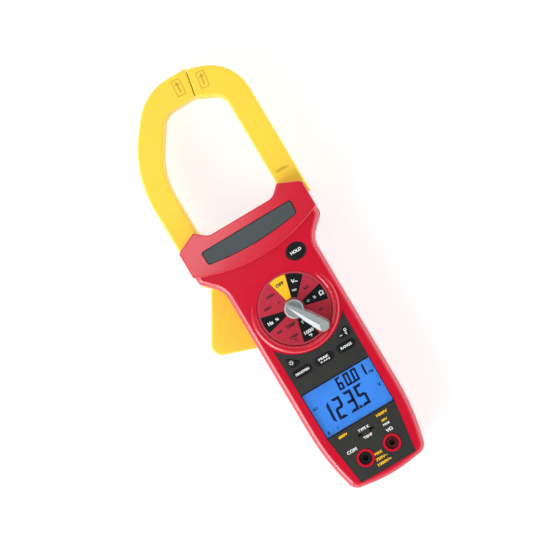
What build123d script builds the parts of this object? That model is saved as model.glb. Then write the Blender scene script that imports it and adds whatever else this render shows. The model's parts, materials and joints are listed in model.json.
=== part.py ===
from build123d import *
import math
import os

os.makedirs("parts", exist_ok=True)

# Frame: +X right seen from the front, +Y towards the jaw tips, +Z out of the face.
# Origin: rear face of the case, under the dial axis. Sizes in millimetres.

# ---- overall sizes ----
case_depth = 40.0
body_half_width = 32.6
head_half_width = 44.6
tail_y = -121.2
tail_inset = 6.7
head_top_y = 72.6
head_rise = 2.0
head_tilt = 3.2
crease_y = 38.4
crease_bow = 12.3
wall = 2.2
front_wall = 2.6
gap = 0.3
running_gap = 0.05
edge_round = 4.1

# ---- depth levels ----
parting_z = 0.525 * case_depth
inner_front_z = case_depth - front_wall
board_thickness = 1.6
board_z = case_depth - 11.0
board_top_z = board_z + board_thickness

# ---- jaws ----
jaw_thickness = 18.0
jaw_wall = 1.8
jaw_mid_z = parting_z
jaw_low_z = jaw_mid_z - jaw_thickness / 2
jaw_high_z = jaw_mid_z + jaw_thickness / 2
jaw_edge_round = 1.6
tip_lean = 3.5
jaw_top_y = 164.8
jaw_tip_width = 18.2
core_thickness = 10.0
core_margin = 3.2
bar_low_y = 51.6
bar_high_y = 60.4
hall_slot = 2.4

# ---- jaw pivot ----
pivot_x = -33.6
pivot_y = 47.0
pin_radius = 3.0
boss_radius = 11.3
post_radius = 5.0
hub_radius = 8.7
trigger_thickness = 10.0
swing_radius = 58.3

# ---- dial and selector ----
dial_radius = 23.4
rim_width = 4.8
rim_radius = dial_radius + rim_width
rim_height = 1.6
rim_tilt = 2.6
rim_sink = 0.9
dial_drop = 1.8
hub_disc_radius = 6.05
shaft_radius = 5.0
lever_length = 25.0
lever_half_width = 4.6
knob_top_z = case_depth + 12.8
rotor_radius = 18.0
detent_inner_radius = 21.0
detents = 12

# ---- keys ----
key_travel = 1.0
key_proud = 0.9
row_key_length = 12.3
row_key_width = 4.9
row_key_y = -36.4
row_key_pitch = 15.8
hold_x = 19.1
hold_y = 30.2
hold_radius_x = 6.0
hold_radius_y = 4.9

# ---- display and panels ----
panel_half_width = 25.0
panel_taper = 0.5
panel_foot_half = 19.7
horn_y = -16.0
panel_low_y = -115.2
window_top_y = -49.3
window_bottom_y = -80.6
panel_drop = 1.2
panel_thickness = 1.1

# ---- terminals ----
jack_spacing = 19.05
jack_y = -102.8
jack_radius = 4.2
jack_groove_radius = 3.4
jack_sleeve_radius = 2.8
jack_sleeve_top = case_depth - 10.0
jack_length = 26.0
plug_radius = 2.0
jack_collar_radius = 5.7
jack_drop = 1.5
couple_y = -89.0
couple_pitch = 7.9

# ---- battery ----
battery_width = 26.5
battery_length = 48.5
battery_height = 17.5
battery_low_y = -96.0
door_half_width = 17.5
door_low_y = -109.0
door_high_y = -37.5

screw_places = [(25.5, -97.0), (-25.5, -97.0), (25.2, 12.0), (-8.0, 42.0), (30.0, 43.0)]
board_screw_places = [(24.5, -43.5), (-24.5, -43.5), (0.0, -108.5)]


def save(name, shape):
    shape.label = name
    export_step(shape, "parts/" + name + ".step")


def disc(x, y, radius, low, high):
    return Pos(x, y, low) * Cylinder(radius, high - low, align=(Align.CENTER, Align.CENTER, Align.MIN))


def tube(x, y, outer, inner, low, high):
    return disc(x, y, outer, low, high) - disc(x, y, inner, low - 1, high + 1)


def block(x0, x1, y0, y1, z0, z1):
    size = Box(x1 - x0, y1 - y0, z1 - z0, align=(Align.MIN, Align.MIN, Align.MIN))
    return Pos(x0, y0, z0) * size


def plate(outline, low, high):
    return Pos(0, 0, low) * extrude(outline, amount=high - low)


def grown(outline, amount):
    return offset(outline, amount=amount)


def group(shapes):
    return Compound(children=list(shapes))


def edges_at(shape, level):
    return shape.edges().filter_by_position(Axis.Z, level - 0.01, level + 0.01)


# ---------------------------------------------------------------- outlines
def mirrored(left, radii):
    points = left + [(-x, y) for x, y in reversed(left[1:])]
    rounds = radii + list(reversed(radii[1:]))
    return make_face(FilletPolyline(*points, radius=rounds, close=True))


def case_outline():
    head = head_half_width
    body = body_half_width
    left = [
        (0, tail_y),
        (-body + tail_inset, tail_y + 4.1),
        (-body, tail_y + 28.9),
        (-body, 31.2),
        (-head, 43.0),
        (-head, 66.0),
        (-30.2, head_top_y),
        (-23.3, 66.1),
    ]
    return mirrored(left, [100, 7, 150, 14, 5, 2, 1.8, 8])


def body_outline():
    head = head_half_width - 0.6
    body = body_half_width
    left = [
        (0, tail_y),
        (-body + tail_inset, tail_y + 4.1),
        (-body, tail_y + 28.9),
        (-body, 31.2),
        (-head, 43.0),
        (-head, 60.0),
    ]
    return mirrored(left, [100, 7, 150, 14, 5, 6])


def head_zone():
    head = head_half_width
    side_y = crease_y + crease_bow
    crease = ThreePointArc((-head - 5, side_y), (0, crease_y), (head + 5, side_y))
    rest = Polyline((head + 5, side_y), (head + 5, 80), (-head - 5, 80), (-head - 5, side_y))
    return make_face(crease + rest)


def panel_outline():
    half = panel_half_width
    waist = half - panel_taper
    foot_x = panel_foot_half
    top = rim_radius + 0.2
    arc = ThreePointArc((-half, horn_y), (0, -top), (half, horn_y))
    right = Polyline((half, horn_y), (waist, window_bottom_y), (foot_x, panel_low_y + 0.4))
    foot = ThreePointArc((foot_x, panel_low_y + 0.4), (0, panel_low_y), (-foot_x, panel_low_y + 0.4))
    left = Polyline((-foot_x, panel_low_y + 0.4), (-waist, window_bottom_y), (-half, horn_y))
    return make_face(arc + right + foot + left)


def nameplate_outline():
    left = [(0, 47.2), (-32.1, 50.0), (-32.4, 59.5)]
    return mirrored(left, [110, 1.5, 1.5])


def rounded_face(corners):
    points = [(x, y) for x, y, radius in corners]
    rounds = [radius for x, y, radius in corners]
    return make_face(FilletPolyline(*points, radius=rounds, close=True))


def moving_jaw_outline():
    left = pivot_x - boss_radius
    right = pivot_x + boss_radius - 0.2
    inside = -29.2
    low = pivot_y - boss_radius
    corners = [
        (left, low, boss_radius - 0.4),
        (left, 124.6, 76.0),
        (-12.4, jaw_top_y, 34.0),
        (17.6, jaw_top_y, 0),
        (17.6 - tip_lean, jaw_top_y - jaw_tip_width, 0),
        (-8.3, jaw_top_y - jaw_tip_width, 12.0),
        (inside, 114.8, 50.9),
        (inside, 70.8, 8.0),
        (right, 66.0, 0),
        (right, low, boss_radius - 0.4),
    ]
    return rounded_face(corners)


def fixed_jaw_outline():
    lean = tip_lean / jaw_tip_width
    inner_y = jaw_top_y - jaw_tip_width - 0.8
    face_x = 17.9
    corners = [
        (46.5, 58.7, 0),
        (46.5, 153.7, 28.9),
        (20.4, jaw_top_y - 1.5, 0),
        (face_x - lean * 2.0, jaw_top_y - 2.0, 0),
        (face_x - lean * (jaw_tip_width + 0.8), inner_y, 0),
        (30.1, 138.3, 10.6),
        (30.1, 71.2, 8.0),
        (23.3, 66.0, 0),
        (23.3, 49.6, 0),
        (41.0, 49.6, 0),
        (41.0, 58.7, 0),
    ]
    return rounded_face(corners)


def trigger_outline():
    low = pivot_y - swing_radius
    corners = [
        (-30.6, low - 0.1, 1.0),
        (-62.2, low + 10.8, 6.5),
        (-40.4, 36.7, 3.0),
        (-37.0, 42.0, 0),
        (-28.0, 42.0, 0),
    ]
    return rounded_face(corners)


def triangle_key_outline(side, inset):
    left = [(-21.3, -24.4), (-21.3, -31.1), (-12.3, -31.1)]
    shift = 0.8 if side > 0 else 0.0
    points = [(shift - side * x, y) for x, y in left]
    return grown(make_face(FilletPolyline(*points, radius=1.1, close=True)), -inset)


def row_key_outline(index, inset):
    length = row_key_length - 2 * inset
    width = row_key_width - 2 * inset
    sketch = SlotOverall(length, width)
    return Pos(index * row_key_pitch, row_key_y) * sketch


def hold_outline(inset):
    return Pos(hold_x, hold_y) * Ellipse(hold_radius_x - inset, hold_radius_y - inset)


def panel_half(y):
    return panel_half_width - panel_taper * (horn_y - y) / (horn_y - window_bottom_y)


def window_outline(inset):
    top = panel_half(window_top_y) - 0.15 - inset
    low = panel_half(window_bottom_y) - 0.15 - inset
    y1 = window_top_y - inset
    y0 = window_bottom_y + inset
    return make_face(Polyline((-top, y1), (-low, y0), (low, y0), (top, y1), close=True))


KEYS = {
    "hold_key": lambda inset: hold_outline(inset),
    "backlight_key": lambda inset: triangle_key_outline(-1, inset),
    "ohm_key": lambda inset: triangle_key_outline(1, inset),
    "max_min_key": lambda inset: row_key_outline(-1, inset),
    "peak_key": lambda inset: row_key_outline(0, inset),
    "range_key": lambda inset: row_key_outline(1, inset),
}


# ---------------------------------------------------------------- shared cuts
def jaw_room(low, high):
    left = plate(make_face(Polyline(
        (-70, 34.6), (-21.4, 34.6), (-21.4, 90), (-70, 90), close=True)), low, high)
    left_top = block(-70, -21.4, 62.0, 90, low, high)
    right_top = block(22.9, 70, 57.9, 90, low, high)
    return left + left_top + right_top


def trigger_room():
    low = jaw_mid_z - 2.0 - trigger_thickness / 2 - 0.5
    high = low + trigger_thickness + 1.0
    mouth = block(-70, -body_half_width + wall + 1.4, pivot_y - swing_radius - 0.6, 38.0, low, high)
    return mouth


def bore_at_pivot(radius, low, high):
    return disc(pivot_x, pivot_y, radius, low, high)


# ---------------------------------------------------------------- case
def on_head(shape, rise):
    return Pos(0, crease_y + 6, case_depth + head_rise + rise) * Rot(-head_tilt, 0, 0) * shape


def above_head(rise):
    return on_head(Box(200, 200, 30, align=(Align.CENTER, Align.CENTER, Align.MIN)), rise)


def make_front_case():
    outer = case_outline()
    body = plate(body_outline(), parting_z + gap / 2, case_depth)
    body = fillet(edges_at(body, case_depth), edge_round)
    head_face = make_face((outer & head_zone()).face().outer_wire())
    head = plate(head_face, parting_z + gap / 2, case_depth + 9) - above_head(0)
    head = fillet(head.faces().sort_by(Axis.Z)[-1].edges(), 0.9)
    shell = body + head
    body_space = plate(grown(body_outline(), -wall), parting_z, inner_front_z - 3.0)
    upper_space = plate(grown(body_outline(), -edge_round - 0.6), parting_z, inner_front_z)
    head_space = plate(grown(head_face, -wall), parting_z, case_depth + 9) - above_head(-front_wall)
    shell = shell - body_space - upper_space - head_space
    pad = disc(0, 0, dial_radius + 2.0, case_depth - dial_drop - 2.4, inner_front_z + 0.5)
    rim_centre = (dial_radius + 0.2 + rim_radius) / 2
    rim_half = (rim_radius - dial_radius - 0.2) / 2
    section = Plane.XZ * Pos(rim_centre, -rim_sink) * Ellipse(rim_half, rim_height)
    rim = Pos(0, 0, case_depth) * Rot(-rim_tilt, 0, 0) * revolve(section, Axis.Z)
    rim = rim - disc(0, 0, rim_radius + 2, 0, inner_front_z + 0.1)
    shell = shell + pad + rim
    for x in (-jack_spacing / 2, jack_spacing / 2):
        shell = shell + disc(x, jack_y, jack_collar_radius, inner_front_z - 4.0, case_depth + 0.5)
    for x, y in screw_places:
        shell = shell + disc(x, y, 3.0, parting_z + 0.5, inner_front_z + 0.6)
    shell = shell + bore_at_pivot(4.6, jaw_high_z + gap, case_depth)
    for x, y in board_screw_places:
        shell = shell + disc(x, y, 2.6, board_top_z + 0.1, inner_front_z + 0.6)
    return shell - front_case_cuts()


def front_case_cuts():
    deep = case_depth + 9
    cuts = [disc(0, 0, dial_radius, case_depth - dial_drop, deep)]
    cuts.append(disc(0, 0, shaft_radius + 0.08, 20, deep))
    recess = plate(panel_outline(), case_depth - panel_drop, deep)
    for x in (-jack_spacing / 2, jack_spacing / 2):
        recess = recess - disc(x, jack_y, jack_collar_radius, 0, deep)
        cuts.append(disc(x, jack_y, jack_radius + 0.1, 20, deep))
    cuts.append(recess - disc(0, 0, rim_radius, 0, deep))
    cuts.append(plate(window_outline(0.3), 20, deep))
    cuts.append(couple_block(0.2, 20, deep))
    cuts.append(on_head(plate(Pos(0, -crease_y - 6) * nameplate_outline(), 0, 5), -1.1))
    for outline in KEYS.values():
        cuts.append(plate(outline(-0.25), board_top_z, deep))
    cuts.append(jaw_room(0, jaw_high_z + gap))
    cuts.append(trigger_room())
    cuts.append(bore_at_pivot(pin_radius + running_gap, 0, case_depth - 1.5))
    for x, y in screw_places:
        cuts.append(disc(x, y, 1.25, 0, inner_front_z - 2.0))
    for x, y in board_screw_places:
        cuts.append(disc(x, y, 0.95, 0, inner_front_z - 0.6))
    return cuts


def couple_block(extra, low, high):
    half = couple_pitch / 2 + 4.0 + extra
    centre = -1.05
    return block(centre - half, centre + half, couple_y - 3.0 - extra, couple_y + 3.0 + extra, low, high)


def make_rear_case():
    outer = case_outline()
    top = parting_z - gap / 2
    shell = plate(outer, 0, top)
    shell = fillet(edges_at(shell, 0), 1.4)
    shell = shell - plate(grown(outer, -wall), wall, top + 1)
    x = battery_width / 2 + 1.0
    y0 = battery_low_y - 1.0
    y1 = battery_low_y + battery_length + 6.5
    roof = battery_height + 2.8
    cell = block(-x - 1.5, x + 1.5, y0 - 1.5, y1 + 1.5, 0.5, roof + 1.4)
    cell = cell - block(-x, x, y0, y1, 0, roof)
    shell = shell + cell
    ledge = block(-door_half_width - 2, door_half_width + 2, door_low_y - 2, y0 - 1.0, 1.0, 4.2)
    ledge = ledge + block(-door_half_width - 2, door_half_width + 2, y1 + 1, door_high_y + 2, 1.0, 4.2)
    for side in (-1, 1):
        a = side * (x + 1.0)
        b = side * (door_half_width + 2)
        ledge = ledge + block(min(a, b), max(a, b), door_low_y - 2, door_high_y + 2, 1.0, 4.2)
    shell = shell + (ledge & plate(grown(outer, -wall + 0.2), 0, 10))
    for px, py in screw_places:
        shell = shell + disc(px, py, 3.6, 1.0, top - 0.2)
    shell = shell + disc(0, -104.0, 3.2, 1.0, 11.0)
    shell = shell + bore_at_pivot(5.4, 1.0, jaw_low_z - gap)
    for rib_x in (-16.0, -6.0, 7.0, 17.0):
        rib = block(rib_x - 0.8, rib_x + 0.8, bar_low_y + 1, bar_high_y - 1, 1.0, core_low() - 0.1)
        shell = shell + rib
    return shell - rear_case_cuts(x, y0, y1)


def rear_case_cuts(x, y0, y1):
    door = door_outline(-gap)
    cuts = [plate(door, -1, 2.0 + 0.1)]
    cuts.append(block(-x, x, y0, y1, -1, 5))
    cuts.append(block(-6, 6, y1 - 1, y1 + 2.5, 7, 17))
    cuts.append(jaw_room(jaw_low_z - gap, case_depth))
    cuts.append(trigger_room())
    cuts.append(bore_at_pivot(pin_radius + running_gap, 1.8, case_depth))
    label = block(-20.2, 20.2, -30.2, -9.8, -1, 0.5)
    cuts.append(label)
    for px, py in screw_places:
        cuts.append(disc(px, py, 1.7, -1, case_depth))
        cuts.append(disc(px, py, 3.0, -1, 4.5))
    cuts.append(disc(0, -104.0, 1.25, -1, 9.5))
    for side in (-1, 1):
        cuts.append(disc(side * jack_spacing / 2, jack_y, jack_radius + 0.6, 4.3, case_depth))
    return cuts


def door_outline(inset):
    half = door_half_width - inset
    y0 = door_low_y + inset
    y1 = door_high_y - inset
    points = [(-half, y0), (half, y0), (half, y1), (-half, y1)]
    return make_face(FilletPolyline(*points, radius=3.0, close=True))


def make_battery_cover():
    door = plate(door_outline(0), 0.05, 2.0)
    grips = [block(-9, 9, -52 - 2.2 * i, -51 - 2.2 * i, -1, 0.6) for i in range(5)]
    door = door - grips
    door = door - disc(0, -104.0, 1.5, -1, 5) - disc(0, -104.0, 2.8, -1, 0.95)
    return door


def make_screw(x, y, head_low, head_radius, shank_radius, head_height, length):
    head = disc(x, y, head_radius, head_low, head_low + head_height)
    shank = disc(x, y, shank_radius, head_low + head_height - 0.1, head_low + length)
    cross = Rectangle(2.6, 0.6) + Rectangle(0.6, 2.6)
    drive = Pos(x, y, head_low) * extrude(cross, amount=0.7 * head_height)
    return (head + shank) - drive


# ---------------------------------------------------------------- jaws
def core_low():
    return jaw_mid_z - core_thickness / 2


def core_high():
    return jaw_mid_z + core_thickness / 2


def cover_half(outline, low, high, front):
    shell = plate(outline, low, high)
    face_z = high if front else low
    shell = fillet(edges_at(shell, face_z), jaw_edge_round)
    pocket = grown(outline, -jaw_wall)
    if front:
        return shell - plate(pocket, low - 1, high - jaw_wall)
    return shell - plate(pocket, low + jaw_wall, high + 1)


def make_moving_covers():
    outline = moving_jaw_outline()
    join = 0.12
    front = cover_half(outline, jaw_mid_z + join, jaw_high_z, True)
    rear = cover_half(outline, jaw_low_z, jaw_mid_z - join, False)
    front = front + bore_at_pivot(post_radius, jaw_mid_z + join, jaw_high_z - 0.5)
    rear = rear + bore_at_pivot(post_radius, jaw_low_z + 0.5, jaw_mid_z - join)
    mouth = plate(grown(trigger_outline(), 0.25), trigger_low() - 0.3, trigger_high() + 0.3)
    hub = bore_at_pivot(hub_radius + 0.3, trigger_low() - 0.3, trigger_high() + 0.3)
    hub = hub - bore_at_pivot(post_radius, 0, 50)
    mouth = mouth - bore_at_pivot(post_radius, 0, 50)
    bore = bore_at_pivot(pin_radius + running_gap, 0, 60)
    return front - mouth - hub - bore, rear - mouth - hub - bore


def make_fixed_covers():
    outline = fixed_jaw_outline()
    join = 0.12
    front = cover_half(outline, jaw_mid_z + join, jaw_high_z, True)
    rear = cover_half(outline, jaw_low_z, jaw_mid_z - join, False)
    slot = block(20, 26, bar_low_y - 0.3, bar_high_y + 0.3, core_low() - 0.3, core_high() + 0.3)
    return front - slot, rear - slot


def make_moving_core():
    bulk = grown(moving_jaw_outline(), -core_margin)
    floor_y = pivot_y + post_radius + 0.4
    arm = bulk & Pos(0, floor_y + 200) * Rectangle(400, 400)
    return plate(arm, core_low(), core_high())


def make_fixed_core():
    bulk = grown(fixed_jaw_outline(), -core_margin)
    arm = bulk & Pos(0, bar_low_y + 200) * Rectangle(400, 400)
    core = plate(arm, core_low(), core_high())
    core = core + block(hall_slot / 2, 30, bar_low_y, bar_high_y, core_low(), core_high())
    return core


def make_base_core():
    return block(pivot_x + 11.8, -hall_slot / 2, bar_low_y, bar_high_y, core_low(), core_high())


def trigger_low():
    return jaw_mid_z - 2.0 - trigger_thickness / 2


def trigger_high():
    return trigger_low() + trigger_thickness


def make_trigger():
    web = plate(trigger_outline(), trigger_low(), trigger_high())
    rims = edges_at(web, trigger_high()) + edges_at(web, trigger_low())
    web = fillet(rims.filter_by_position(Axis.Y, -20, 36), 1.4)
    hub = bore_at_pivot(hub_radius, trigger_low(), trigger_high())
    hub = hub - block(-60, 0, bar_low_y - 0.4, 90, 0, 60)
    lever = web + hub
    return lever - bore_at_pivot(post_radius + 0.15, 0, 60)


def make_return_spring():
    radius = post_radius + 1.9
    wire = 0.55
    turns = 4.0
    pitch = 1.25
    low = 3.4
    path = Pos(0, 0, low) * Helix(pitch, pitch * turns, radius)
    start = path @ 0
    section = Plane(origin=start, z_dir=path % 0) * Circle(wire)
    coil = sweep(section, path, is_frenet=True)
    ends = []
    for at, way in ((0, -1), (1, 1)):
        leg = Line(path @ at, (path @ at) + (path % at) * way * 7.0)
        ends.append(sweep(Plane(origin=leg @ 0, z_dir=leg % 0) * Circle(wire), leg))
    return Pos(pivot_x, pivot_y, 0) * Rot(0, 0, 60) * (coil + ends[0] + ends[1])


# ---------------------------------------------------------------- selector
def lever_outline(nose_radius, inset, level):
    nose = Pos(-5.7, 0) * Circle(nose_radius)
    waist = Pos(9.0, 0) * Circle(lever_half_width - 0.7 - inset)
    end = Pos(lever_length - lever_half_width, 0) * Circle(lever_half_width - inset)
    return Pos(0, 0, level) * make_hull(nose.edges() + waist.edges() + end.edges())


def make_knob():
    base_z = case_depth + 2.3
    hub = disc(0, 0, hub_disc_radius, case_depth - dial_drop + 1.3, case_depth + 8.6)
    hub = fillet(edges_at(hub, case_depth + 8.6), 1.2)
    foot = lever_outline(1.3, 0.0, base_z)
    crown = lever_outline(0.5, 1.1, knob_top_z)
    lever = loft([foot, crown], ruled=True)
    for side in (-1, 1):
        roof = Pos(8, side * 0.2, knob_top_z + 0.2) * Rot(side * -24, 0, 0)
        slab = Box(60, 14, 5, align=(Align.CENTER, Align.MIN if side > 0 else Align.MAX, Align.MIN))
        lever = lever - roof * slab
    drop = Pos(lever_length + 1.0, 0, knob_top_z - 3.4) * Rot(0, 24, 0)
    lever = lever - drop * Box(24, 30, 12, align=(Align.CENTER, Align.CENTER, Align.MIN))
    shaft = disc(0, 0, shaft_radius, rotor_high() + 0.3, case_depth)
    neck = Pos(0, 0, rotor_low() + 0.3) * extrude(Rectangle(6.0, 6.0), amount=8)
    knob = hub + lever + shaft + neck
    return Rot(0, 0, -60) * knob


def rotor_low():
    return board_top_z + 1.6


def rotor_high():
    return rotor_low() + 2.2


def make_rotor():
    rotor = disc(0, 0, rotor_radius, rotor_low(), rotor_high())
    rotor = rotor + disc(0, 0, 7.0, rotor_low() - 0.8, rotor_high())
    rotor = rotor - extrude(Rectangle(6.1, 6.1), amount=60)
    for angle in (30, 210):
        pocket = Rot(0, 0, angle) * block(10.0, 20.0, -1.35, 1.35, rotor_low() + 0.4, 60)
        rotor = rotor - pocket
    rotor = Rot(0, 0, -60) * rotor
    return rotor


def detent_z():
    return rotor_low() + 1.6


def make_detent_ball(angle):
    reach = detent_inner_radius - 0.08 - 1.1
    return Rot(0, 0, angle - 60) * Pos(reach, 0, detent_z()) * Sphere(1.1)


def make_detent_spring(angle):
    coil_length = detent_inner_radius - 0.08 - 2.2 - 0.2 - 10.3
    path = Helix(1.2, coil_length, 0.75)
    section = Plane(origin=path @ 0, z_dir=path % 0) * Circle(0.2)
    coil = sweep(section, path, is_frenet=True)
    return Rot(0, 0, angle - 60) * Pos(10.3, 0, detent_z() - 0.1) * Rot(0, 90, 0) * coil


def make_detent_ring():
    ring = tube(0, 0, detent_inner_radius + 2.0, detent_inner_radius, rotor_low() - 0.2, rotor_high() + 0.6)
    notches = []
    for step in range(detents):
        spot = Rot(0, 0, step * 360 / detents) * Pos(detent_inner_radius, 0, 0)
        notches.append(spot * disc(0, 0, 1.2, 0, 60))
    feet = []
    for angle in (45, 135, 225, 315):
        spot = Rot(0, 0, angle) * Pos(detent_inner_radius + 1.0, 0, 0)
        feet.append(spot * disc(0, 0, 0.8, board_top_z + 0.1, rotor_low() + 0.2))
    return (ring - notches) + feet


def make_wipers():
    strips = []
    for index, radius in enumerate((9.5, 12.5, 15.5)):
        angle = 75 + 90 * index
        bar = block(radius - 0.8, radius + 0.8, -4, 4, rotor_low() - 0.35, rotor_low() - 0.1)
        tip = block(radius - 0.5, radius + 0.5, -0.7, 0.7, board_top_z + 0.2, rotor_low() - 0.2)
        strips.append(Rot(0, 0, angle) * (bar + tip))
    return group(strips)


# ---------------------------------------------------------------- keys
def make_key(outline):
    top = case_depth + key_proud
    stem = plate(outline(0.0), inner_front_z - 2.0, top)
    stem = fillet(edges_at(stem, top), 0.5)
    flange = plate(outline(-0.9), board_top_z + 1.4 + key_travel, inner_front_z - 0.25)
    return stem + flange


def make_front_plates():
    deep = case_depth + 2
    floor = case_depth - panel_drop + 0.05
    whole = plate(grown(panel_outline(), -0.15), floor, floor + panel_thickness)
    whole = whole - disc(0, 0, rim_radius + 0.3, 0, deep)
    for x in (-jack_spacing / 2, jack_spacing / 2):
        whole = whole - disc(x, jack_y, jack_collar_radius + 0.15, 0, deep)
    for outline in KEYS.values():
        whole = whole - plate(outline(-0.25), 0, deep)
    for x, width in couple_slots():
        whole = whole - block(x - width / 2, x + width / 2, couple_y - 1.0, couple_y + 1.0, 0, deep)
    upper = whole - block(-40, 40, -130, window_top_y + 0.15, 0, deep)
    lower = whole - block(-40, 40, window_bottom_y - 0.15, 0, 0, deep)
    window = plate(window_outline(0.0), floor, floor + panel_thickness)
    return upper, lower, window


# ---------------------------------------------------------------- electronics
def make_board():
    points = [(-24, -112), (24, -112), (28, -92), (28, 34.0), (-20.5, 34.0), (-28, 20), (-28, -92)]
    board = plate(make_face(Polyline(*points, close=True)), board_z, board_top_z)
    holes = [disc(x, y, 4.1, 0, 60) for x, y in screw_places]
    holes += [disc(x, y, 1.3, 0, 60) for x, y in board_screw_places]
    for side in (-1, 1):
        holes.append(disc(side * jack_spacing / 2, jack_y, jack_radius + 0.4, 0, 60))
    holes.append(couple_block(0.4, 0, 60))
    return board - holes


def make_holder():
    low = board_top_z + 0.1
    high = inner_front_z - 0.3
    frame = block(-26.5, 26.5, window_bottom_y - 1.8, window_top_y + 1.8, low, high)
    frame = frame - block(-24.6, 24.6, window_bottom_y - 0.2, window_top_y + 0.2, low - 1, high + 1)
    for x, y in board_screw_places[:2]:
        frame = frame - disc(x, y, 3.2, 0, 60)
    return frame


def make_jack(side):
    x = side * jack_spacing / 2
    low = case_depth - jack_length
    top = case_depth + 0.5 - jack_drop
    body = disc(x, jack_y, jack_radius, low, top)
    pocket = disc(x, jack_y, jack_sleeve_radius + gap, low + 2.0, jack_sleeve_top + 0.1)
    bore = disc(x, jack_y, plug_radius + 0.02, low + 2.0, case_depth + 5)
    groove = tube(x, jack_y, jack_groove_radius, jack_groove_radius - 0.5, top - 0.5, top + 1)
    stem = disc(x, jack_y, 1.0, low - 1, low + 5)
    return body - pocket - bore - groove - stem


def make_contact(side):
    x = side * jack_spacing / 2
    low = case_depth - jack_length
    sleeve = disc(x, jack_y, jack_sleeve_radius, low + 2.15, jack_sleeve_top)
    sleeve = sleeve - disc(x, jack_y, plug_radius + 0.02, low + 4.2, case_depth)
    return sleeve + disc(x, jack_y, 0.85, low - 1.2, low + 3.0)


def couple_slots():
    wide = (couple_pitch / 2 - 0.9, 3.2)
    narrow = (-couple_pitch / 2 - 1.2, 2.6)
    return (wide, narrow)


def make_couple_socket():
    low = board_z - 4.0
    body = couple_block(0.0, low, case_depth - panel_drop - 0.05)
    for x, width in couple_slots():
        body = body - block(x - width / 2, x + width / 2, couple_y - 1.0, couple_y + 1.0, low + 1.5, 60)
    return body


def make_couple_contacts():
    low = board_z - 2.3
    strips = []
    for x, width in couple_slots():
        half = width / 2 - 0.1
        strips.append(block(x - half, x + half, couple_y - 0.85, couple_y - 0.45, low, case_depth - 3.0))
    return group(strips)


def make_battery():
    x = battery_width / 2
    y1 = battery_low_y + battery_length - 3.0
    cell = block(-x, x, battery_low_y, y1, 2.6, 2.6 + battery_height)
    cell = fillet(cell.edges().filter_by(Axis.Y), 2.4)
    mid = 2.6 + battery_height / 2
    stud = Pos(-6.4, y1 - 0.1, mid) * Rot(-90, 0, 0)
    small = stud * Cylinder(2.8, 3.0, align=(Align.CENTER, Align.CENTER, Align.MIN))
    hex_stud = Pos(6.4, y1 - 0.1, mid) * Rot(-90, 0, 0) * extrude(RegularPolygon(3.8, 6), amount=3.0)
    return cell + small + hex_stud


def make_snap():
    y1 = battery_low_y + battery_length
    mid = 2.6 + battery_height / 2
    body = block(-12.4, 12.4, y1 - 2.7, y1 + 1.6, mid - 6.4, mid + 6.4)
    for x in (-6.4, 6.4):
        socket = Pos(x, y1 - 3, mid) * Rot(-90, 0, 0)
        body = body - socket * Cylinder(4.1, 3.4, align=(Align.CENTER, Align.CENTER, Align.MIN))
    return body


def wire(points, radius, start, end):
    path = Spline(*points, tangents=(start, end))
    return sweep(Plane(origin=path @ 0, z_dir=path % 0) * Circle(radius), path)


def make_battery_leads():
    y1 = battery_low_y + battery_length + 1.7
    mid = 2.6 + battery_height / 2
    leads = []
    for x in (-2.4, 2.4):
        route = [(x, y1, mid + 2), (x, y1 + 7.5, mid + 2)]
        route += [(x, y1 + 12.0, mid + 7), (x * 1.6, y1 + 13.0, board_z - 0.1)]
        leads.append(wire(route, 0.7, (0, 1, 0), (0, 0, 1)))
    return group(leads)


def make_sensor_leads():
    leads = []
    for index in range(3):
        x = -0.7 + 1.0 * index - 0.3
        y = bar_low_y - 0.1
        route = [(x, y, jaw_mid_z), (x, y - 6.0, jaw_mid_z - 0.5)]
        route += [(x, y - 13.0, jaw_mid_z + 3), (x, 31.5, board_z - 0.1)]
        leads.append(wire(route, 0.32, (0, -1, 0), (0, 0, 1)))
    return group(leads)


def make_components():
    low = board_z - 2.3
    top = board_z - 0.1
    spots = [(4, 22, 14, 14), (-10, 10, 8, 8), (18, -20, 10, 6), (-16, -22, 9, 9)]
    chips = [block(x - w / 2, x + w / 2, y - h / 2, y + h / 2, low, top) for x, y, w, h in spots]
    return group(chips)


# ---------------------------------------------------------------- build
front_case = make_front_case()
save("front_case", front_case)
rear_case = make_rear_case()
save("rear_case", rear_case)
save("battery_cover", make_battery_cover())

moving_front, moving_rear = make_moving_covers()
save("moving_jaw_front_cover", moving_front)
save("moving_jaw_rear_cover", moving_rear)
save("moving_jaw_core", make_moving_core())
save("trigger_lever", make_trigger())
save("pivot_pin", bore_at_pivot(pin_radius, 2.0, case_depth - 1.8))
save("return_spring", make_return_spring())

fixed_front, fixed_rear = make_fixed_covers()
save("fixed_jaw_front_cover", fixed_front)
save("fixed_jaw_rear_cover", fixed_rear)
save("fixed_jaw_core", make_fixed_core())
save("base_core", make_base_core())
sensor = block(-0.9, 0.9, bar_low_y + 1.5, bar_high_y - 1.5, core_low() + 1, core_high() - 1)
save("hall_sensor", sensor)
save("sensor_leads", make_sensor_leads())

for key_name, key_outline in KEYS.items():
    save(key_name, make_key(key_outline))

upper_panel, lower_panel, display_window = make_front_plates()
save("control_panel", upper_panel)
save("terminal_panel", lower_panel)
save("display_window", display_window)
name_face = Pos(0, -crease_y - 6) * grown(nameplate_outline(), -0.12)
save("nameplate", on_head(plate(name_face, 0, 1.15), -1.05))

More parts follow.
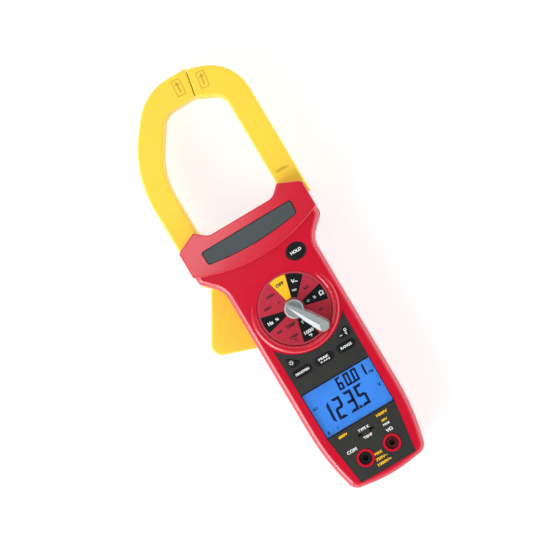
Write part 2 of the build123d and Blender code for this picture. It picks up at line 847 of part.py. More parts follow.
dial_low = case_depth - dial_drop + 0.05
dial_plate = tube(0, 0, dial_radius - 0.2, hub_disc_radius + 0.3, dial_low, dial_low + 1.0)
save("dial_plate", dial_plate)
save("selector_knob", make_knob())
save("switch_rotor", make_rotor())
save("wiper_contacts", make_wipers())
save("detent_ring", make_detent_ring())
save("detent_balls", group([make_detent_ball(30), make_detent_ball(210)]))
save("detent_springs", group([make_detent_spring(30), make_detent_spring(210)]))

save("main_board", make_board())
save("lcd_holder", make_holder())
y0 = window_bottom_y + 0.1
y1 = window_top_y - 0.1
save("lcd_glass", block(-24.3, 24.3, y0, y1, inner_front_z - 2.2, inner_front_z - 0.3))
save("backlight_panel", block(-24.3, 24.3, y0 + 3, y1, inner_front_z - 5.2, inner_front_z - 2.5))
strip_z = board_top_z + 0.1
save("contact_strip", block(-24.0, 24.0, y0, y0 + 2.7, strip_z, inner_front_z - 2.4))
save("keypad_mat", block(-21.6, 21.6, -42.0, -24.8, board_top_z + 0.1, board_top_z + 0.9))
switch_low = board_top_z + 0.1
save("hold_switch", block(hold_x - 3, hold_x + 3, hold_y - 3, hold_y + 3, switch_low, switch_low + 1.0))
board_screws = []
for x, y in board_screw_places:
    head = disc(x, y, 2.0, board_z - 1.5, board_z - 0.05)
    board_screws.append(head + disc(x, y, 0.85, board_z - 1, inner_front_z - 1.2))
save("board_screws", group(board_screws))
save("board_components", make_components())
save("buzzer", disc(13, -6, 7.0, board_z - 4.6, board_z - 0.1))

save("com_jack_insulator", make_jack(-1))
save("volt_jack_insulator", make_jack(1))
save("com_jack_contact", make_contact(-1))
save("volt_jack_contact", make_contact(1))
save("thermocouple_socket", make_couple_socket())
save("thermocouple_contacts", make_couple_contacts())

save("battery", make_battery())
save("battery_snap", make_snap())
save("battery_leads", make_battery_leads())
case_screws = [make_screw(x, y, 2.0, 2.7, 1.2, 2.4, 26.0) for x, y in screw_places]
save("case_screws", group(case_screws))
save("battery_cover_screw", make_screw(0, -104.0, 0.1, 2.5, 1.2, 0.8, 8.0))
save("rear_label", block(-20, 20, -30, -10, 0.1, 0.45))
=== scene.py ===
import json
import math
import bpy
import bmesh
from mathutils import Matrix, Vector


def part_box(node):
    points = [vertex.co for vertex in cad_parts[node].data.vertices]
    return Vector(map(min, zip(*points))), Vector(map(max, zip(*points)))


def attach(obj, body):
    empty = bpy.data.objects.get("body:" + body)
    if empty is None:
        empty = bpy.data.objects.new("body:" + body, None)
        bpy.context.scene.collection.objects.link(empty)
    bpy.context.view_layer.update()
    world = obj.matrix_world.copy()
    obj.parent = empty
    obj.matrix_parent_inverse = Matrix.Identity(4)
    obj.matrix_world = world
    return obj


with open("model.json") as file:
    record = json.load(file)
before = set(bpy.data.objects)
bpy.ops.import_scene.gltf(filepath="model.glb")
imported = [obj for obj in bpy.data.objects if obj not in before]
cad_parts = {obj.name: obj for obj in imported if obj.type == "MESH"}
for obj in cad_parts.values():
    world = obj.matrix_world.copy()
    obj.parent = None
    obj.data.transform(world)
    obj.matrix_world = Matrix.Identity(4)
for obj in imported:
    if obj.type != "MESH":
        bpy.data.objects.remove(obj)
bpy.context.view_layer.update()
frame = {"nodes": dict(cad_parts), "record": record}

MM = 0.001
PRINT_THICK = 0.00006
PRINT_WEIGHT = 0.00011
CAP_TO_TYPE_SIZE = 1.38
nodes = frame["nodes"]
record = frame["record"]
slot_of = {part["node"]: part["material_slot"] for part in record["subparts"]}


def top_of(node):
    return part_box(node)[1].z


# ------------------------------------------------------------------ materials
def new_material(name):
    mat = bpy.data.materials.new(name)
    mat.use_nodes = True
    tree = mat.node_tree
    shader = tree.nodes["Principled BSDF"]
    return mat, tree, shader


def link(tree, a, b):
    tree.links.new(a, b)


def noise(tree, scale, detail=4.0, rough=0.55, stretch=(1, 1, 1)):
    coords = tree.nodes.new("ShaderNodeTexCoord")
    mapping = tree.nodes.new("ShaderNodeMapping")
    mapping.inputs["Scale"].default_value = stretch
    link(tree, coords.outputs["Object"], mapping.inputs["Vector"])
    tex = tree.nodes.new("ShaderNodeTexNoise")
    tex.inputs["Scale"].default_value = scale
    tex.inputs["Detail"].default_value = detail
    tex.inputs["Roughness"].default_value = rough
    link(tree, mapping.outputs["Vector"], tex.inputs["Vector"])
    return tex


def ramp(tree, source, stops):
    node = tree.nodes.new("ShaderNodeValToRGB")
    elements = node.color_ramp.elements
    while len(elements) < len(stops):
        elements.new(0.5)
    for element, (place, colour) in zip(elements, stops):
        element.position = place
        element.color = (*colour, 1.0)
    link(tree, source, node.inputs["Fac"])
    return node


def spread(tree, source, low, high):
    node = tree.nodes.new("ShaderNodeMapRange")
    node.inputs["To Min"].default_value = low
    node.inputs["To Max"].default_value = high
    link(tree, source, node.inputs["Value"])
    return node


def bumps(tree, shader, layers):
    previous = None
    for source, strength, distance in layers:
        bump = tree.nodes.new("ShaderNodeBump")
        bump.inputs["Strength"].default_value = strength
        bump.inputs["Distance"].default_value = distance
        link(tree, source, bump.inputs["Height"])
        if previous:
            link(tree, previous.outputs["Normal"], bump.inputs["Normal"])
        previous = bump
    link(tree, previous.outputs["Normal"], shader.inputs["Normal"])


def shade(colour, factor):
    return tuple(min(1.0, c * factor) for c in colour)


def plastic(name, colour, rough, grain=900.0, grain_depth=0.00002, spec=0.5, coat=0.0, vary=0.08):
    mat, tree, shader = new_material(name)
    cloud = noise(tree, 38.0, 5.0)
    tint = ramp(tree, cloud.outputs["Fac"], [
        (0.25, shade(colour, 1.0 - vary)), (0.5, colour), (0.78, shade(colour, 1.0 + vary))])
    link(tree, tint.outputs["Color"], shader.inputs["Base Color"])
    handling = noise(tree, 120.0, 6.0, 0.65)
    gloss = spread(tree, handling.outputs["Fac"], rough - 0.06, rough + 0.09)
    link(tree, gloss.outputs["Result"], shader.inputs["Roughness"])
    fine = noise(tree, grain, 2.0)
    wave = noise(tree, 55.0, 2.0)
    bumps(tree, shader, [
        (fine.outputs["Fac"], 0.22, grain_depth), (wave.outputs["Fac"], 0.08, 0.00006)])
    shader.inputs["Specular IOR Level"].default_value = spec
    shader.inputs["Coat Weight"].default_value = coat
    shader.inputs["Coat Roughness"].default_value = 0.12
    return mat


def metal(name, colour, rough, stretch=(1, 1, 40), scale=60.0):
    mat, tree, shader = new_material(name)
    brush = noise(tree, scale, 6.0, 0.6, stretch)
    tint = ramp(tree, brush.outputs["Fac"], [(0.3, shade(colour, 0.86)), (0.7, shade(colour, 1.1))])
    link(tree, tint.outputs["Color"], shader.inputs["Base Color"])
    gloss = spread(tree, brush.outputs["Fac"], rough - 0.05, rough + 0.12)
    link(tree, gloss.outputs["Result"], shader.inputs["Roughness"])
    bumps(tree, shader, [(brush.outputs["Fac"], 0.25, 0.00002)])
    shader.inputs["Metallic"].default_value = 1.0
    return mat


def screen(name, colour, glow):
    mat, tree, shader = new_material(name)
    cloud = noise(tree, 26.0, 2.0)
    tint = ramp(tree, cloud.outputs["Fac"], [(0.3, shade(colour, 0.94)), (0.7, shade(colour, 1.05))])
    link(tree, tint.outputs["Color"], shader.inputs["Base Color"])
    link(tree, tint.outputs["Color"], shader.inputs["Emission Color"])
    shader.inputs["Emission Strength"].default_value = glow
    shader.inputs["Roughness"].default_value = 0.25
    cells = noise(tree, 2400.0, 1.0)
    bumps(tree, shader, [(cells.outputs["Fac"], 0.04, 0.00001)])
    return mat


def clear_glass(name):
    mat, tree, shader = new_material(name)
    smudge = noise(tree, 60.0, 5.0)
    gloss = spread(tree, smudge.outputs["Fac"], 0.02, 0.10)
    link(tree, gloss.outputs["Result"], shader.inputs["Roughness"])
    shader.inputs["Base Color"].default_value = (0.93, 0.97, 1.0, 1.0)
    shader.inputs["Transmission Weight"].default_value = 1.0
    shader.inputs["IOR"].default_value = 1.3
    bumps(tree, shader, [(smudge.outputs["Fac"], 0.02, 0.00002)])
    return mat


def laminated(name):
    mat, tree, shader = new_material(name)
    coords = tree.nodes.new("ShaderNodeTexCoord")
    sheets = tree.nodes.new("ShaderNodeTexWave")
    sheets.bands_direction = "Z"
    sheets.inputs["Scale"].default_value = 320.0
    sheets.inputs["Distortion"].default_value = 0.4
    link(tree, coords.outputs["Object"], sheets.inputs["Vector"])
    tint = ramp(tree, sheets.outputs["Fac"], [(0.2, (0.16, 0.16, 0.17)), (0.6, (0.42, 0.42, 0.44))])
    link(tree, tint.outputs["Color"], shader.inputs["Base Color"])
    bumps(tree, shader, [(sheets.outputs["Fac"], 0.4, 0.00005)])
    shader.inputs["Metallic"].default_value = 0.9
    shader.inputs["Roughness"].default_value = 0.42
    return mat


def board_finish(name):
    mat, tree, shader = new_material(name)
    coords = tree.nodes.new("ShaderNodeTexCoord")
    tracks = tree.nodes.new("ShaderNodeTexVoronoi")
    tracks.feature = "DISTANCE_TO_EDGE"
    tracks.inputs["Scale"].default_value = 420.0
    link(tree, coords.outputs["Object"], tracks.inputs["Vector"])
    tint = ramp(tree, tracks.outputs["Distance"], [(0.04, (0.05, 0.32, 0.12)), (0.1, (0.01, 0.13, 0.05))])
    link(tree, tint.outputs["Color"], shader.inputs["Base Color"])
    bumps(tree, shader, [(tracks.outputs["Distance"], 0.3, 0.00004)])
    shader.inputs["Roughness"].default_value = 0.35
    return mat


RED = (0.62, 0.0015, 0.024)
YELLOW = (0.94, 0.66, 0.052)
INK = (0.012, 0.014, 0.016)

mats = {
    "case_red": plastic("red_case_plastic", RED, 0.30, 700.0, 0.00002, 0.5, 1.0, 0.05),
    "jaw_yellow": plastic("yellow_jaw_plastic", YELLOW, 0.42, 1100.0, 0.00003, 0.45, 0.0, 0.03),
    "panel_grey": plastic("dark_panel_plastic", (0.022, 0.024, 0.021), 0.42, 1500.0, 0.00004),
    "nameplate_grey": plastic("nameplate_plastic", (0.055, 0.070, 0.074), 0.42, 1500.0, 0.00003),
    "dial_print": plastic("dial_plate_print", (0.55, 0.05, 0.08), 0.45, 1500.0, 0.00002),
    "knob_grey": plastic("knob_plastic", (0.30, 0.34, 0.34), 0.26, 1300.0, 0.00002, 0.6, 1.0),
    "key_black": plastic("key_rubber", (0.008, 0.009, 0.010), 0.32, 1600.0, 0.00002, 0.25),
    "window_clear": clear_glass("display_window_clear"),
    "lcd_blue": screen("display_blue", (0.06, 0.28, 0.88), 0.40),
    "backlight_white": screen("backlight_diffuser", (0.7, 0.8, 0.95), 0.3),
    "jack_black": plastic("jack_black_plastic", (0.012, 0.012, 0.014), 0.4),
    "jack_red": plastic("jack_dark_red_plastic", (0.10, 0.008, 0.012), 0.4),
    "contact_nickel": metal("nickel_contact", (0.75, 0.73, 0.68), 0.22),
    "core_steel": laminated("laminated_core"),
    "steel": metal("steel_hardware", (0.6, 0.6, 0.62), 0.3),
    "board_green": board_finish("circuit_board"),
    "chip_black": plastic("component_black", (0.02, 0.02, 0.02), 0.55),
    "white_plastic": plastic("natural_white_plastic", (0.72, 0.71, 0.67), 0.45),
    "mat_rubber": plastic("keypad_rubber", (0.1, 0.1, 0.105), 0.7),
    "battery_wrap": metal("battery_shell", (0.12, 0.14, 0.18), 0.35),
    "lead_wire": plastic("lead_insulation", (0.45, 0.02, 0.02), 0.5),
    "sensor_wire": plastic("sensor_insulation", (0.7, 0.7, 0.65), 0.5),
    "label_silver": metal("rear_label_foil", (0.62, 0.62, 0.62), 0.38, (1, 40, 1)),
}
for name, obj in nodes.items():
    for material_slot in obj.material_slots:
        material_slot.material = mats[slot_of[name]]

ink = {
    "black": plastic("print_black", INK, 0.5, 2000.0, 0.00001),
    "white": plastic("print_white", (0.8, 0.82, 0.82), 0.5, 2000.0, 0.00001),
    "yellow": plastic("print_yellow", (0.98, 0.56, 0.008), 0.42, 2000.0, 0.00001),
    "wedge_red": plastic("print_red", (0.50, 0.016, 0.042), 0.42, 2000.0, 0.00001),
    "wedge_black": plastic("print_dark", (0.008, 0.011, 0.012), 0.30, 2000.0, 0.00001, 0.25),
    "dark_red": plastic("print_dark_red", (0.06, 0.004, 0.007), 0.5, 2000.0, 0.00001),
    "navy": plastic("display_segment", (0.002, 0.018, 0.09), 0.4, 2000.0, 0.00001),
    # Darker yellow for the moulded jaw marks: painted shade of their relief, not a print colour.
    "emboss_shade": plastic("yellow_emboss_painted_shade", (0.62, 0.38, 0.025), 0.5, 1100.0, 0.00002),
}


# ------------------------------------------------------------------ pieces
def add_piece(name, mesh, material, body):
    obj = bpy.data.objects.new(name, mesh)
    bpy.context.scene.collection.objects.link(obj)
    mesh.materials.clear()
    mesh.materials.append(material)
    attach(obj, body)
    return obj


def prism(outlines, low, high):
    """A mesh of flat outlines in mm, each extruded from low to high in metres."""
    bm = bmesh.new()
    for outline in outlines:
        bottom = [bm.verts.new((x * MM, y * MM, low)) for x, y in outline]
        top = [bm.verts.new((x * MM, y * MM, high)) for x, y in outline]
        bm.faces.new(list(reversed(bottom)))
        bm.faces.new(top)
        count = len(outline)
        for i in range(count):
            j = (i + 1) % count
            bm.faces.new((bottom[i], bottom[j], top[j], top[i]))
    bmesh.ops.recalc_face_normals(bm, faces=bm.faces)
    mesh = bpy.data.meshes.new("outline")
    bm.to_mesh(mesh)
    bm.free()
    return mesh


def sector(inner, outer, start, end, steps=14):
    angles = [math.radians(start + (end - start) * i / steps) for i in range(steps + 1)]
    rim = [(outer * math.cos(a), outer * math.sin(a)) for a in angles]
    hub = [(inner * math.cos(a), inner * math.sin(a)) for a in reversed(angles)]
    return rim + hub


def turned(outline, angle, x=0.0, y=0.0):
    c = math.cos(math.radians(angle))
    s = math.sin(math.radians(angle))
    return [(px * c - py * s + x, px * s + py * c + y) for px, py in outline]


def bar(x, y, width, height, angle=0.0):
    w = width / 2
    h = height / 2
    return turned([(-w, -h), (w, -h), (w, h), (-w, h)], angle, x, y)


def ring(x, y, radius, thick, start=0, end=360, steps=24):
    parts = []
    for i in range(steps):
        a = start + (end - start) * i / steps
        b = start + (end - start) * (i + 1) / steps
        parts.append(turned(sector(radius - thick / 2, radius + thick / 2, a, b, 1), 0, x, y))
    return parts


def lettering(name, words, x, y, width, height, level, material, body, angle=0.0):
    """Raised print, width by height in mm, centred on x, y."""
    curve = bpy.data.curves.new(name, "FONT")
    curve.body = words
    curve.size = height * MM * CAP_TO_TYPE_SIZE
    curve.extrude = PRINT_THICK / 2
    curve.offset = PRINT_WEIGHT * height / 2.0
    curve.resolution_u = 3
    temp = bpy.data.objects.new(name + "_curve", curve)
    bpy.context.scene.collection.objects.link(temp)
    bpy.context.view_layer.update()
    mesh = bpy.data.meshes.new_from_object(temp)
    bpy.data.objects.remove(temp)
    xs = [vertex.co.x for vertex in mesh.vertices]
    ys = [vertex.co.y for vertex in mesh.vertices]
    centre = Matrix.Translation((-(min(xs) + max(xs)) / 2, -(min(ys) + max(ys)) / 2, 0))
    fit = Matrix.Diagonal((width * MM / (max(xs) - min(xs)), height * MM / (max(ys) - min(ys)), 1, 1))
    turn = Matrix.Rotation(math.radians(angle), 4, "Z")
    place = Matrix.Translation((x * MM, y * MM, level + PRINT_THICK / 2))
    mesh.transform(place @ turn @ fit @ centre)
    return add_piece(name, mesh, material, body)


# ------------------------------------------------------------------ dial
WEDGE_OUTER = 21.9
WEDGE_INNER = 6.95
WEDGE_HALF_ANGLE = 14.55
WEDGE_THICK = 0.00012
WEDGE_COLOURS = {
    90: "yellow", 60: "wedge_black", 30: "wedge_red", 0: "wedge_black", -30: "wedge_red",
    -60: "wedge_red", -90: "wedge_black", -120: "wedge_red", -150: "wedge_red",
    180: "wedge_black", 150: "wedge_red", 120: "wedge_red",
}
dial_top = top_of("dial_plate")
for index, (angle, colour) in enumerate(WEDGE_COLOURS.items()):
    outline = sector(WEDGE_INNER, WEDGE_OUTER, angle - WEDGE_HALF_ANGLE, angle + WEDGE_HALF_ANGLE)
    mesh = prism([outline], dial_top, dial_top + WEDGE_THICK)
    add_piece(f"dial_wedge_{index}", mesh, ink[colour], "case")

print_top = dial_top + WEDGE_THICK
LEGENDS = [
    ("off", "OFF", -0.3, 17.4, 5.6, 2.2, "black", 0),
    ("volts", "V~", 8.6, 14.7, 4.3, 2.4, "white", -24),
    ("millivolts", "mV", 5.9, 9.9, 3.0, 1.5, "white", -24),
    ("ohms", "Ω", 19.3, -0.1, 3.2, 3.0, "white", 0),
    ("tone", "))", 14.3, -0.3, 1.8, 2.0, "white", 0),
    ("diode", "-|-", 9.8, -0.3, 2.6, 1.7, "white", 0),
    ("microamps", "µA", 14.2, -8.8, 3.0, 1.9, "dark_red", 0),
    ("ohms_high", "kΩ", 13.0, 7.6, 3.6, 1.9, "dark_red", 0),
    ("degrees_k", "T", 0.0, -10.1, 1.4, 1.9, "white", 0),
    ("range_f", "1000", 0.6, -16.8, 6.4, 2.2, "white", 0),
    ("degrees_f", "°F", 0.3, -19.6, 2.3, 1.9, "white", 0),
    ("range_c", "1000", -8.9, -14.8, 5.9, 2.0, "dark_red", 0),
    ("degrees_c", "°C", -9.2, -17.3, 2.0, 1.6, "dark_red", 0),
    ("temp", "TEMP", -7.4, -7.9, 6.8, 2.2, "dark_red", 0),
    ("range_t", "400", -15.6, -8.1, 3.8, 1.9, "dark_red", 0),
    ("hertz", "Hz", -17.5, -0.5, 3.6, 2.2, "white", 0),
    ("percent", "%", -12.8, -0.4, 2.3, 1.7, "white", 0),
    ("amps_low", "400A", -14.4, 8.3, 5.6, 1.8, "dark_red", 0),
    ("amps_mark", "A", -6.6, 8.3, 1.5, 1.8, "dark_red", 0),
    ("amps_high", "1000A", -8.9, 14.2, 6.4, 1.8, "dark_red", 0),
]
for name, words, x, y, width, height, colour, angle in LEGENDS:
    lettering("legend_" + name, words, x, y, width, height, print_top, ink[colour],
              "case", angle)

# ------------------------------------------------------------------ nameplate gap, painted shade
TILT = math.radians(3.2)
CREASE_LINE = 0.0444
PLATE_LEVEL = 0.0421
PLATE_MID_Y = 53.6
PLATE_SHRINK_X = 0.985
PLATE_SHRINK_Y = 0.93
PLATE_GAP_SHADE_THICK = 0.00005
edge = [(0, 47.25), (-16.0, 48.0), (-30.8, 50.05), (-32.0, 51.4),
        (-32.25, 58.2), (-31.0, 59.4), (0, 59.4)]
edge += [(-x, y) for x, y in reversed(edge[1:-1])]
# A thin dark sheet along the nameplate's edge, on the tilted plate: painted shade of the gap around the
# plate.
plate_gap_shade = []
count = len(edge)
for index, (x, y) in enumerate(edge):
    x2, y2 = edge[(index + 1) % count]
    shrink = [(px * PLATE_SHRINK_X, PLATE_MID_Y + (py - PLATE_MID_Y) * PLATE_SHRINK_Y)
              for px, py in ((x2, y2), (x, y))]
    outline = [(x, y), (x2, y2)] + shrink
    plate_gap_shade.append([(px, py - CREASE_LINE / MM) for px, py in outline])
plate_gap_shade_mesh = prism(plate_gap_shade, 0, PLATE_GAP_SHADE_THICK)
plate_gap_shade_mesh.transform(Matrix.Translation((0, CREASE_LINE, PLATE_LEVEL)) @ Matrix.Rotation(-TILT, 4, "X"))
add_piece("nameplate_gap_painted_shade", plate_gap_shade_mesh, ink["wedge_black"], "case")

# ------------------------------------------------------------------ keys
key_top = top_of("peak_key")
hold_top = top_of("hold_key")
KEY_WORDS = [
    ("hold_word", "HOLD", 19.1, 30.3, 7.5, 2.1, "hold_key"),
    ("range_word", "RANGE", 15.8, -36.4, 7.7, 1.7, "range_key"),
    ("max_word", "MAX/MIN", -15.8, -36.4, 9.4, 1.7, "max_min_key"),
    ("peak_word", "PEAK", 0.0, -35.5, 7.2, 1.5, "peak_key"),
    ("peak_hint", "0 ADJ", 0.0, -37.6, 6.6, 1.2, "peak_key"),
]
for name, words, x, y, width, height, key in KEY_WORDS:
    level = hold_top if key == "hold_key" else key_top
    lettering(name, words, x, y, width, height, level, ink["white"], key)

CASE_LEVEL = 0.040
# A thin dark-red ring laid on the case around the HOLD key: painted shade of the key's recess.
HOLD_SHADE_THICK = 0.00004
HOLD_X = 19.1
HOLD_Y = 30.2
HOLD_SHADE_INNER = (6.3, 5.2)
HOLD_SHADE_OUTER = (6.9, 5.8)
hold_shade_ring = []
for step in range(36):
    a = math.radians(10 * step)
    b = math.radians(10 * step + 10)
    corners = ((*HOLD_SHADE_INNER, a), (*HOLD_SHADE_OUTER, a), (*HOLD_SHADE_OUTER, b), (*HOLD_SHADE_INNER, b))
    hold_shade_ring.append([(HOLD_X + rx * math.cos(t), HOLD_Y + ry * math.sin(t)) for rx, ry, t in corners])
add_piece("hold_recess_painted_shade", prism(hold_shade_ring, CASE_LEVEL, CASE_LEVEL + HOLD_SHADE_THICK),
          ink["dark_red"], "case")

SUN_X = -19.0
SUN_Y = -28.3
RAY_PLACE = 1.4
SIGN_LINE = 0.26
sun = ring(SUN_X, SUN_Y, 0.8, 0.32)
for step in range(8):
    a = math.radians(45 * step)
    ray_x = SUN_X + RAY_PLACE * math.cos(a)
    ray_y = SUN_Y + RAY_PLACE * math.sin(a)
    sun.append(bar(ray_x, ray_y, 0.5, SIGN_LINE, 45 * step))
add_piece("backlight_sun", prism(sun, key_top, key_top + PRINT_THICK),
          ink["white"], "backlight_key")
lettering("ohm_word", "Ω", 20.3, -27.2, 1.9, 1.7, key_top, ink["white"], "ohm_key")
WAVES_X = 18.9
WAVES_Y = -29.3
waves = []
for radius in (0.5, 1.0, 1.5):
    waves += ring(WAVES_X, WAVES_Y, radius, SIGN_LINE, -50, 50, 8)
waves.append(bar(16.4, WAVES_Y, 1.7, 0.5))
add_piece("tone_waves", prism(waves, key_top, key_top + PRINT_THICK), ink["white"], "ohm_key")

# ------------------------------------------------------------------ display
SEGMENTS = {
    "0": "abcdef", "1": "bc", "2": "abdeg", "3": "abcdg", "4": "bcfg",
    "5": "acdfg", "6": "acdefg", "7": "abc", "8": "abcdefg", "9": "abcdfg",
}
SEGMENT_THICK = 0.00008
SEGMENT_SHRINK_X = 0.97
SEGMENT_SHRINK_Y = 0.985
SEGMENT_LEAN = 0.06


def seven(digit, x, y, width, height, thick):
    w = width / 2
    h = height / 2
    t = thick
    m = t / 2
    mitre = {
        "a": [(-w, h), (w, h), (w - t, h - t), (-w + t, h - t)],
        "d": [(-w + t, -h + t), (w - t, -h + t), (w, -h), (-w, -h)],
        "g": [(-w + m, m), (w - m, m), (w - m, -m), (-w + m, -m)],
        "b": [(w, h), (w, 0), (w - t, 0), (w - t, h - t)],
        "c": [(w, 0), (w, -h), (w - t, -h + t), (w - t, 0)],
        "f": [(-w, h), (-w + t, h - t), (-w + t, 0), (-w, 0)],
        "e": [(-w, 0), (-w + t, 0), (-w + t, -h + t), (-w, -h)],
    }
    shapes = []
    for key in SEGMENTS[digit]:
        shrunk = [(px * SEGMENT_SHRINK_X, py * SEGMENT_SHRINK_Y) for px, py in mitre[key]]
        shapes.append([(px + x + SEGMENT_LEAN * py, py + y) for px, py in shrunk])
    return shapes


def reading(words, right, y, width, height, thick, step):
    shapes = []
    x = right
    for mark in reversed(words):
        if mark == ".":
            shapes.append(bar(x + step / 2 - thick * 0.1, y - height / 2 + thick / 2, thick, thick))
            continue
        shapes += seven(mark, x, y, width, height, thick)
        x -= step
    return shapes


lcd_top = top_of("lcd_glass")
segments = reading("123.5", 8.6, -67.85, 6.2, 14.2, 1.85, 8.15)
segments += reading("60.01", 16.5, -54.9, 4.0, 8.5, 1.35, 5.4)
add_piece("lcd_digits", prism(segments, lcd_top, lcd_top + SEGMENT_THICK), ink["navy"], "case")
UNITS = [("unit_volts", "V", 21.3, -67.8, 2.3, 2.6), ("unit_hertz", "Hz", 21.1, -57.9, 3.2, 2.0),
         ("unit_ac", "AC", -21.0, -61.0, 3.4, 1.9), ("unit_tick", "1", -21.5, -78.0, 0.9, 2.0),
         ("unit_mark", "|", -15.0, -78.0, 0.5, 1.8)]
for name, words, x, y, width, height in UNITS:
    lettering(name, words, x, y, width, height, lcd_top, ink["navy"], "case")

FILM_WIDTH = 0.45
FILM_INNER = 0.35
FILM_THICK = 0.00004
window_low, window_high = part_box("display_window")
film_top = top_of("display_window")
half_top = window_high.x / MM
half_low = half_top - FILM_WIDTH
y_top = window_high.y / MM
y_low = window_low.y / MM
film = [
    [(-half_top, y_top - FILM_INNER), (half_top, y_top - FILM_INNER),
     (half_top, y_top + FILM_WIDTH), (-half_top, y_top + FILM_WIDTH)],
    [(-half_low, y_low - FILM_WIDTH), (half_low, y_low - FILM_WIDTH),
     (half_low, y_low + FILM_INNER), (-half_low, y_low + FILM_INNER)],
]
for side in (-1, 1):
    film.append([(side * half_top, y_top), (side * (half_top - FILM_WIDTH), y_top),
                 (side * (half_low - FILM_WIDTH), y_low), (side * half_low, y_low)])
add_piece("display_border", prism(film, film_top, film_top + FILM_THICK),
          ink["wedge_black"], "case")

# ------------------------------------------------------------------ terminals
panel_top = top_of("terminal_panel")
JACK_WORDS = [
    ("couple_word", "TYPE K", -1.2, -86.3, 7.9, 1.7, "white"),
    ("couple_hint", "TEMP", -1.2, -91.7, 6.2, 1.6, "white"),
    ("com_word", "COM", -14.7, -94.8, 6.9, 2.2, "white"),
    ("volt_word", "VΩ", 12.3, -94.8, 4.6, 2.2, "white"),
    ("limit_left", "600V", -14.6, -83.7, 6.4, 1.8, "yellow"),
    ("limit_right", "1000V", 13.4, -83.7, 7.8, 1.8, "yellow"),
    ("low_volts", "30V", 12.8, -88.0, 4.2, 1.5, "yellow"),
    ("low_max", "MAX", 12.6, -90.8, 4.6, 1.5, "white"),
    ("max_word", "MAX", -1.0, -104.0, 5.4, 1.9, "yellow"),
    ("max_ac", "750V~", -0.6, -107.5, 8.2, 1.9, "yellow"),
    ("max_dc", "1000V=", -0.4, -110.7, 9.6, 1.9, "yellow"),
]
for name, words, x, y, width, height, colour in JACK_WORDS:
    lettering("jack_" + name, words, x, y, width, height, panel_top, ink[colour], "case")

# ------------------------------------------------------------------ jaw marks
jaw_top = top_of("moving_jaw_front_cover")
MARK_LINE = 0.42
MARK_THICK = 0.0001


def frame_marks(x, y, width, height, line, angle):
    w = width / 2
    h = height / 2
    sides = [bar(0, h, width, line), bar(0, -h, width, line), bar(w, 0, line, height - line),
             bar(-w, 0, line, height - line)]
    return [turned(side, angle, x, y) for side in sides]


# The jaw marks and the 1000A~ rating are raised 0.1 mm (real relief); their darker yellow is painted
# shade of the moulding.
MARKS = [
    ("moving_jaw_mark", 8.0, 156.3, 5.4, 10.4, -4, "jaw"),
    ("fixed_jaw_mark", 23.7, 153.0, 5.2, 10.4, -8, "case"),
]
for name, x, y, width, height, angle, body in MARKS:
    mark = frame_marks(x, y, width, height, MARK_LINE, angle)
    mark += [turned(bar(0, -0.8, 0.8, 5.2), angle, x, y)]
    mark += [turned([(-1.7, 1.6), (1.7, 1.6), (0, 4.0)], angle, x, y)]
    add_piece(name, prism(mark, jaw_top, jaw_top + MARK_THICK), ink["emboss_shade"], body)
lettering("jaw_rating", "1000A~", 38.2, 79.2, 9.0, 2.1, jaw_top, ink["emboss_shade"], "case")

# ------------------------------------------------------------------ stage
FLOOR_HALF = 3
FLOOR_DROP = 0.0004
floor_mesh = bpy.data.meshes.new("floor")
floor_mesh.from_pydata([
    (-FLOOR_HALF, -FLOOR_HALF, 0), (FLOOR_HALF, -FLOOR_HALF, 0),
    (FLOOR_HALF, FLOOR_HALF, 0), (-FLOOR_HALF, FLOOR_HALF, 0)], [], [(0, 1, 2, 3)])
floor = bpy.data.objects.new("floor", floor_mesh)
bpy.context.scene.collection.objects.link(floor)
floor.location.z = -FLOOR_DROP
floor_mat, _, floor_shader = new_material("pale_floor")
floor_shader.inputs["Base Color"].default_value = (0.34, 0.34, 0.34, 1)
floor_shader.inputs["Specular IOR Level"].default_value = 0.1
floor_shader.inputs["Emission Color"].default_value = (1, 1, 1, 1)
floor_shader.inputs["Emission Strength"].default_value = 0.74
floor_shader.inputs["Roughness"].default_value = 0.8
floor_mesh.materials.append(floor_mat)

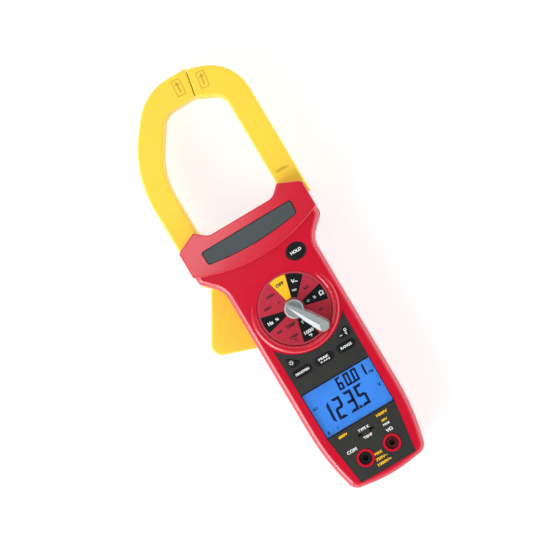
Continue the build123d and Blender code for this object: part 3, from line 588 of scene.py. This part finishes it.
world = bpy.data.worlds.new("studio")
bpy.context.scene.world = world
world.use_nodes = True
world_tree = world.node_tree
sky = world_tree.nodes["Background"]
sky.inputs["Strength"].default_value = 2.15
sky_way = world_tree.nodes.new("ShaderNodeTexCoord")
split = world_tree.nodes.new("ShaderNodeSeparateXYZ")
link(world_tree, sky_way.outputs["Generated"], split.inputs["Vector"])
height_band = ramp(world_tree, split.outputs["Z"], [
    (0.0, (1, 1, 1)), (0.50, (1, 1, 1)), (0.64, (0.24, 0.24, 0.24)),
    (0.86, (0.24, 0.24, 0.24)), (0.95, (0.01, 0.01, 0.01))])
sideways = world_tree.nodes.new("ShaderNodeMath")
sideways.operation = "ABSOLUTE"
link(world_tree, split.outputs["X"], sideways.inputs[0])
side_band = ramp(world_tree, sideways.outputs["Value"], [(0.2, (0.55, 0.55, 0.55)), (0.6, (1, 1, 1))])
sky_mix = world_tree.nodes.new("ShaderNodeMix")
sky_mix.data_type = "RGBA"
sky_mix.blend_type = "MULTIPLY"
sky_mix.inputs["Factor"].default_value = 1.0
# A Mix node in colour mode takes its two colours at sockets 6 and 7 and gives the result at 2.
link(world_tree, height_band.outputs["Color"], sky_mix.inputs[6])
link(world_tree, side_band.outputs["Color"], sky_mix.inputs[7])
link(world_tree, sky_mix.outputs[2], sky.inputs["Color"])


def soft_light(name, place, target, size, power):
    light = bpy.data.lights.new(name, "AREA")
    light.shape = "RECTANGLE"
    light.size, light.size_y = size
    light.energy = power
    obj = bpy.data.objects.new(name, light)
    bpy.context.scene.collection.objects.link(obj)
    obj.location = place
    direction = Vector(target) - Vector(place)
    obj.rotation_euler = direction.to_track_quat("-Z", "Y").to_euler()


soft_light("key_light", (-1.0, -0.3, 0.95), (0, 0.02, 0), (0.7, 0.7), 9.5)
soft_light("glare_light", (-0.13, 0.235, 0.87), (-0.03, 0.06, 0.04), (0.24, 0.17), 0.40)

# ------------------------------------------------------------------ camera
ROLL = math.radians(30.8)
target = Vector((0.0003, 0.024, 0.040))
eye = Vector((0.038, 0.027, 0.890))
camera_data = bpy.data.cameras.new("camera")
camera_data.lens = 89.5
camera_data.sensor_width = 36.0
camera_data.clip_start = 0.01
camera = bpy.data.objects.new("camera", camera_data)
bpy.context.scene.collection.objects.link(camera)
back = (eye - target).normalized()
up_hint = Vector((math.sin(ROLL), math.cos(ROLL), 0))
right = up_hint.cross(back).normalized()
up = back.cross(right).normalized()
axes = Matrix((right, up, back)).transposed().to_4x4()
camera.matrix_world = Matrix.Translation(eye) @ axes
bpy.context.scene.camera = camera
bpy.context.scene.view_settings.view_transform = "Standard"
